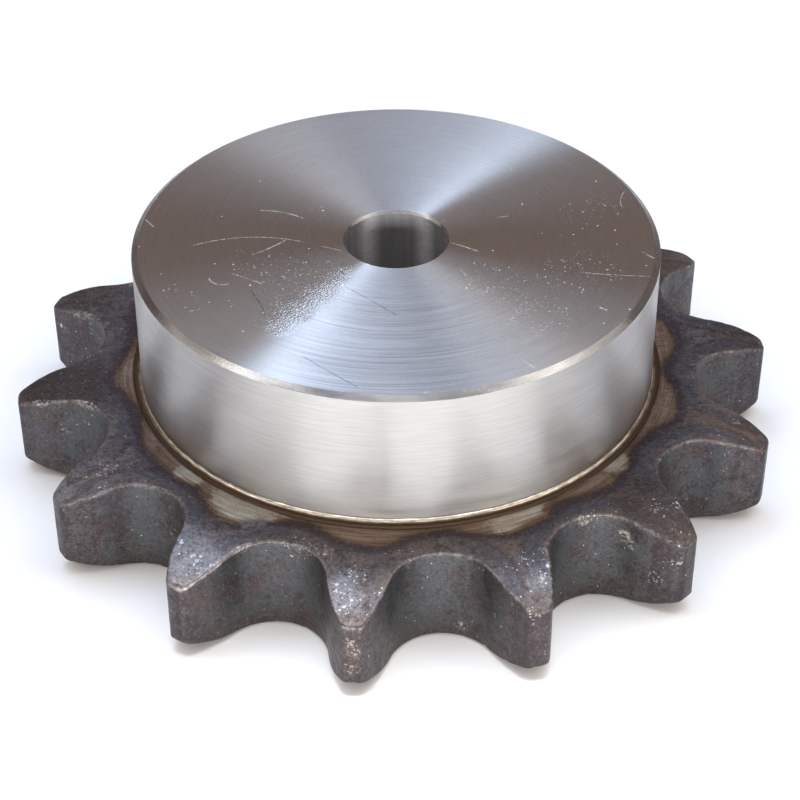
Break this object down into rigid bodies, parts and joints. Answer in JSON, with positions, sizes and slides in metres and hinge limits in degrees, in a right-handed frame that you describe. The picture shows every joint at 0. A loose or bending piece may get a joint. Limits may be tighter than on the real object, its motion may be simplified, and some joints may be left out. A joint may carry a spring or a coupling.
{
  "type": "chain sprocket",
  "caption": "Steel roller-chain sprocket with a round hub on one side and a plain pilot bore, turned and toothed from one piece.",
  "frame": {"origin": "where the bore's axis meets the toothed rim's flat back face", "axes": "+Z along the bore towards the hub's end, +X through the middle of one tooth"},
  "size_m": [0.124, 0.1216, 0.0396],
  "materials": {
    "steel": "turned bare steel on the hub, dark oxide on the hardened teeth"
  },
  "bodies": {
    "root": {"sprocket": "steel"}
  },
  "joints": []
}
